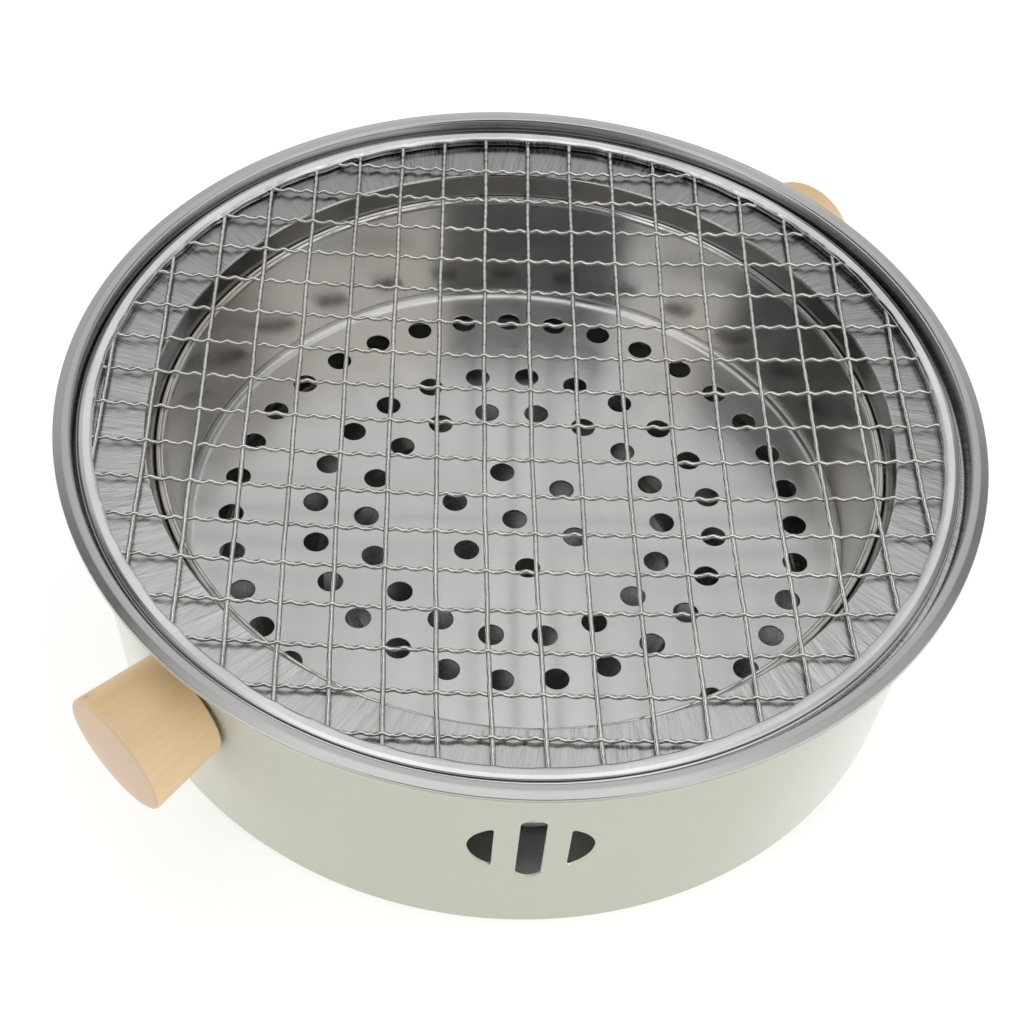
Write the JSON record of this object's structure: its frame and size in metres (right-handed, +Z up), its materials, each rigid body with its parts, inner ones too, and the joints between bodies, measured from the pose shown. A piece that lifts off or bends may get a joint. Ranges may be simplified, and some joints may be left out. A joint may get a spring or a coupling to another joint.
{
  "type": "portable tabletop grill",
  "caption": "Round tabletop charcoal grill: painted drum with wooden side knobs, stainless collar, perforated charcoal bowl and lift-off wire grill.",
  "frame": {"origin": "on the drum's vertical axis, at the level of the undersides of the feet", "axes": "+Z up, +X along the line through the two side knobs (each sits 2.8 degrees round towards +Y), +Y completes the right-handed frame"},
  "size_m": [0.3626, 0.32, 0.1021],
  "materials": {
    "cream_paint": "semi-matte warm off-white enamel",
    "collar_steel": "satin spun, fine concentric marks, radial brush marks on the shelf",
    "bowl_steel": "bright spun wall, satin floor",
    "band_steel": "bright rolled edge",
    "wire_steel": "bright drawn wire",
    "tray_steel": "mill finish",
    "zinc": "zinc plated",
    "wood": "pale close-grained hardwood, sanded, clear matt",
    "rubber": "matt black"
  },
  "bodies": {
    "drum": {"outer_shell": "cream_paint", "base_plate": "zinc", "foot_1": "rubber", "foot_2": "rubber", "foot_3": "rubber", "foot_4": "rubber", "foot_screw_1": "zinc", "foot_screw_2": "zinc", "foot_screw_3": "zinc", "foot_screw_4": "zinc", "handle_left": "wood", "handle_right": "wood", "handle_washer_left": "zinc", "handle_washer_right": "zinc", "handle_screw_left": "zinc", "handle_screw_right": "zinc"},
    "tray": {"ash_tray": "tray_steel"},
    "collar": {"collar_ring": "collar_steel"},
    "basin": {"charcoal_basin": "bowl_steel"},
    "grill": {"grill_band": "band_steel", "grill_wires": "wire_steel"}
  },
  "joints": [
    {"name": "tray_lift", "type": "slide", "parent": "drum", "child": "tray", "axis": [0, 0, 1], "range_m": [0, 0.12]},
    {"name": "collar_lift", "type": "slide", "parent": "tray", "child": "collar", "axis": [0, 0, 1], "range_m": [0, 0.09]},
    {"name": "basin_lift", "type": "slide", "parent": "collar", "child": "basin", "axis": [0, 0, 1], "range_m": [0, 0.09]},
    {"name": "grill_lift", "type": "slide", "parent": "basin", "child": "grill", "axis": [0, 0, 1], "range_m": [0, 0.08]}
  ]
}
